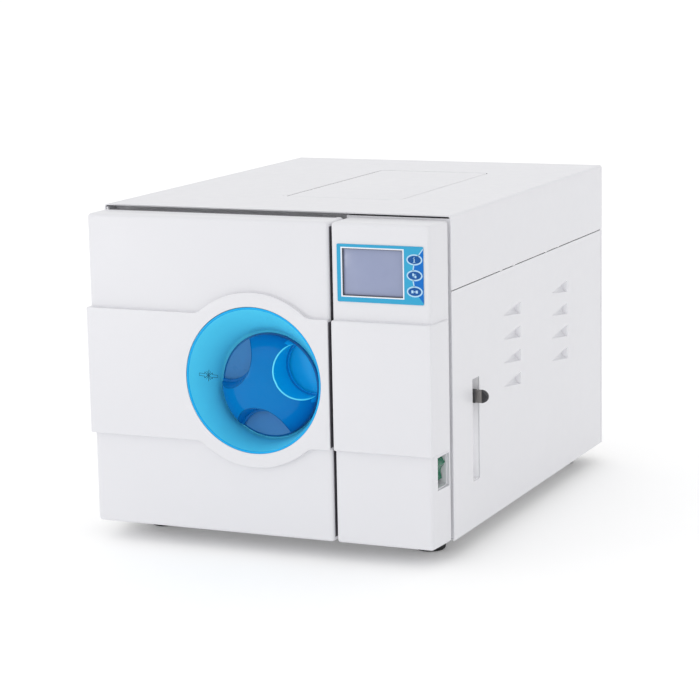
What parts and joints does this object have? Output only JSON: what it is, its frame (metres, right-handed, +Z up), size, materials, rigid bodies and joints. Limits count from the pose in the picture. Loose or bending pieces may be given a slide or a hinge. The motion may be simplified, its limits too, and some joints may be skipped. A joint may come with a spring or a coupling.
{
  "type": "benchtop steam autoclave",
  "caption": "Benchtop steam autoclave with a hinged front door, three-lobed locking knob in a blue dish, control column, water tank lid, chamber and trays.",
  "frame": {"origin": "middle of the whole footprint at bench level, under the feet", "axes": "+X to the right of a person facing the front, +Y from the door to the rear, +Z up"},
  "size_m": [0.497, 0.673, 0.432],
  "materials": {
    "white_paint": "smooth white powder coat",
    "white_shell": "moulded, satin gloss",
    "steel": "fine brushed",
    "aluminium": "as machined or extruded",
    "brass": "machined",
    "black_plastic": "moulded, fine texture",
    "rubber": "matt",
    "dish_blue": "satin moulded",
    "knob_blue": "deep glossy, slightly translucent",
    "overlay_blue": "printed membrane, semi-gloss",
    "screen": "smooth display window",
    "key_navy": "embossed membrane key",
    "switch_green": "clear-tinted rocker",
    "circuit_board": "solder mask",
    "silicone": "soft seal",
    "wool": "pressed mineral wool",
    "tank_plastic": "milky moulded"
  },
  "bodies": {
    "housing": {"air_filter": "white_shell", "base_plate": "steel", "chamber": "steel", "condenser": "aluminium", "control_board": "circuit_board", "control_column": "white_shell", "data_pocket": "white_shell", "data_socket": "steel", "display_overlay": "overlay_blue", "door_striker": "steel", "drain_port": "brass", "fan_shroud": "black_plastic", "fill_port": "brass", "foot_front_left": "rubber", "foot_front_right": "rubber", "foot_rear_left": "rubber", "foot_rear_right": "rubber", "front_frame": "white_paint", "fuse_holder_1": "black_plastic", "fuse_holder_2": "black_plastic", "heater_band": "aluminium", "hinge_bracket_lower": "steel", "hinge_bracket_upper": "steel", "hinge_pin": "steel", "lagging": "wool", "lcd_module": "screen", "power_inlet": "black_plastic", "power_supply": "aluminium", "rear_panel": "white_paint", "safety_valve": "brass", "side_panel_left": "white_paint", "side_panel_right": "white_paint", "steam_generator": "steel", "switch_well": "white_shell", "top_cover": "white_paint", "tray_rack": "steel", "vacuum_pump": "aluminium", "valve_block": "brass", "water_tank": "tank_plastic"},
    "door": {"door_cover": "white_shell", "dish_liner": "dish_blue", "door_bridge": "steel", "door_pan": "steel"},
    "knob": {"knob_base": "knob_blue", "knob_grip": "knob_blue", "spindle": "steel"},
    "closure_plate": {"pressure_plate": "steel", "door_seal": "silicone"},
    "bolt": {"latch_bolt": "steel"},
    "key_top": {"key_1": "key_navy"},
    "key_middle": {"key_2": "key_navy"},
    "key_bottom": {"key_3": "key_navy"},
    "rocker": {"power_rocker": "switch_green"},
    "lid": {"tank_lid": "white_paint"},
    "stick": {"data_stick": "black_plastic"},
    "lower_tray": {"tray_lower": "steel"},
    "upper_tray": {"tray_upper": "steel"},
    "fan": {"fan_rotor": "black_plastic"}
  },
  "joints": [
    {"name": "door_swing", "type": "hinge", "parent": "housing", "child": "door", "pos_m": [-0.231, -0.3105, 0.2097], "axis": [0, 0, -1], "range_deg": [0, 105]},
    {"name": "knob_turn", "type": "hinge", "parent": "door", "child": "knob", "pos_m": [-0.0115, -0.2855, 0.2097], "axis": [0, 1, 0], "range_deg": [0, 90]},
    {"name": "bolt_slide", "type": "slide", "parent": "door", "child": "bolt", "axis": [1, 0, 0], "range_m": [0, 0.0142]},
    {"name": "plate_press", "type": "slide", "parent": "door", "child": "closure_plate", "axis": [0, 1, 0], "range_m": [0, 0.003]},
    {"name": "key_top_press", "type": "slide", "parent": "housing", "child": "key_top", "axis": [0, 1, 0], "range_m": [0, 0.0008], "stiffness_N_per_m": 400},
    {"name": "key_middle_press", "type": "slide", "parent": "housing", "child": "key_middle", "axis": [0, 1, 0], "range_m": [0, 0.0008], "stiffness_N_per_m": 400},
    {"name": "key_bottom_press", "type": "slide", "parent": "housing", "child": "key_bottom", "axis": [0, 1, 0], "range_m": [0, 0.0008], "stiffness_N_per_m": 400},
    {"name": "rocker_tip", "type": "hinge", "parent": "housing", "child": "rocker", "pos_m": [0.216, -0.2995, 0.119], "axis": [0, -1, 0], "range_deg": [0, 24]},
    {"name": "lid_lift", "type": "slide", "parent": "housing", "child": "lid", "axis": [0, 0, 1], "range_m": [0, 0.06]},
    {"name": "stick_pull", "type": "slide", "parent": "housing", "child": "stick", "axis": [1, 0, 0], "range_m": [0, 0.016]},
    {"name": "lower_tray_slide", "type": "slide", "parent": "housing", "child": "lower_tray", "axis": [0, -1, 0], "range_m": [0, 0.018]},
    {"name": "upper_tray_slide", "type": "slide", "parent": "housing", "child": "upper_tray", "axis": [0, -1, 0], "range_m": [0, 0.018]},
    {"name": "fan_spin", "type": "hinge", "parent": "housing", "child": "fan", "pos_m": [0.1215, 0.2887, 0.3], "axis": [0, 1, 0], "continuous": true}
  ],
  "couplings": [
    {"joint": "knob_turn", "follows": "plate_press", "rad_per_m": 523.59},
    {"joint": "bolt_slide", "follows": "plate_press", "ratio": 4.7123}
  ]
}
